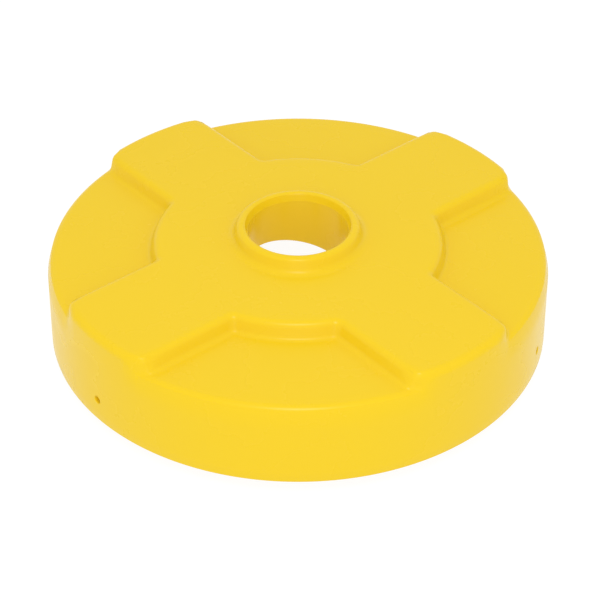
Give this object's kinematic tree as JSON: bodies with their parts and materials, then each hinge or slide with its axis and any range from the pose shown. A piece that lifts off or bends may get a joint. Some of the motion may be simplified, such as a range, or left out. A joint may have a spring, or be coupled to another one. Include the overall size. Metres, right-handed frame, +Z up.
{
  "type": "drum dolly",
  "caption": "Round moulded deck with a raised cross, an open centre and swivel casters under its arms, for rolling a steel drum.",
  "frame": {"origin": "on the floor under the centre of the deck", "axes": "+Z up; the arms of the cross and their casters lie along +X, +Y, -X and -Y"},
  "size_m": [0.614, 0.614, 0.1635],
  "materials": {
    "deck_polyethylene": "moulded high-density polyethylene, satin, fine texture",
    "insert_brass": "plain turned",
    "fastener_steel": "bright zinc plate",
    "zinc_steel": "pressed steel, bright zinc plate",
    "pin_steel": "turned steel",
    "ball_steel": "polished",
    "black_plastic": "moulded",
    "bush_nylon": "natural nylon",
    "wheel_plastic": "moulded polypropylene",
    "tyre_rubber": "moulded rubber"
  },
  "bodies": {
    "deck": {"deck_shell": "deck_polyethylene", "threaded_inserts": "insert_brass", "plate_bolts": "fastener_steel", "lock_washers": "fastener_steel", "caster_1_plate": "zinc_steel", "caster_1_king_pin": "pin_steel", "caster_1_ball_cup": "zinc_steel", "caster_2_plate": "zinc_steel", "caster_2_king_pin": "pin_steel", "caster_2_ball_cup": "zinc_steel", "caster_3_plate": "zinc_steel", "caster_3_king_pin": "pin_steel", "caster_3_ball_cup": "zinc_steel", "caster_4_plate": "zinc_steel", "caster_4_king_pin": "pin_steel", "caster_4_ball_cup": "zinc_steel"},
    "swivel_1": {"caster_1_fork": "zinc_steel", "caster_1_balls": "ball_steel", "caster_1_dust_seal": "black_plastic", "caster_1_axle_bolt": "fastener_steel", "caster_1_axle_nut": "fastener_steel", "caster_1_axle_sleeve": "pin_steel"},
    "wheel_1": {"caster_1_wheel_core": "wheel_plastic", "caster_1_tyre": "tyre_rubber", "caster_1_wheel_bush": "bush_nylon"},
    "swivel_2": {"caster_2_fork": "zinc_steel", "caster_2_balls": "ball_steel", "caster_2_dust_seal": "black_plastic", "caster_2_axle_bolt": "fastener_steel", "caster_2_axle_nut": "fastener_steel", "caster_2_axle_sleeve": "pin_steel"},
    "wheel_2": {"caster_2_wheel_core": "wheel_plastic", "caster_2_tyre": "tyre_rubber", "caster_2_wheel_bush": "bush_nylon"},
    "swivel_3": {"caster_3_fork": "zinc_steel", "caster_3_balls": "ball_steel", "caster_3_dust_seal": "black_plastic", "caster_3_axle_bolt": "fastener_steel", "caster_3_axle_nut": "fastener_steel", "caster_3_axle_sleeve": "pin_steel"},
    "wheel_3": {"caster_3_wheel_core": "wheel_plastic", "caster_3_tyre": "tyre_rubber", "caster_3_wheel_bush": "bush_nylon"},
    "swivel_4": {"caster_4_fork": "zinc_steel", "caster_4_balls": "ball_steel", "caster_4_dust_seal": "black_plastic", "caster_4_axle_bolt": "fastener_steel", "caster_4_axle_nut": "fastener_steel", "caster_4_axle_sleeve": "pin_steel"},
    "wheel_4": {"caster_4_wheel_core": "wheel_plastic", "caster_4_tyre": "tyre_rubber", "caster_4_wheel_bush": "bush_nylon"}
  },
  "joints": [
    {"name": "swivel_1_turn", "type": "hinge", "parent": "deck", "child": "swivel_1", "pos_m": [0.19, 0, 0.11], "axis": [0, 0, 1], "continuous": true},
    {"name": "wheel_1_roll", "type": "hinge", "parent": "swivel_1", "child": "wheel_1", "pos_m": [0.152, 0, 0.05], "axis": [0, 1, 0], "continuous": true},
    {"name": "swivel_2_turn", "type": "hinge", "parent": "deck", "child": "swivel_2", "pos_m": [0, 0.19, 0.11], "axis": [0, 0, 1], "continuous": true},
    {"name": "wheel_2_roll", "type": "hinge", "parent": "swivel_2", "child": "wheel_2", "pos_m": [0, 0.152, 0.05], "axis": [-1, 0, 0], "continuous": true},
    {"name": "swivel_3_turn", "type": "hinge", "parent": "deck", "child": "swivel_3", "pos_m": [-0.19, 0, 0.11], "axis": [0, 0, 1], "continuous": true},
    {"name": "wheel_3_roll", "type": "hinge", "parent": "swivel_3", "child": "wheel_3", "pos_m": [-0.152, 0, 0.05], "axis": [0, -1, 0], "continuous": true},
    {"name": "swivel_4_turn", "type": "hinge", "parent": "deck", "child": "swivel_4", "pos_m": [0, -0.19, 0.11], "axis": [0, 0, 1], "continuous": true},
    {"name": "wheel_4_roll", "type": "hinge", "parent": "swivel_4", "child": "wheel_4", "pos_m": [0, -0.152, 0.05], "axis": [1, 0, 0], "continuous": true}
  ]
}
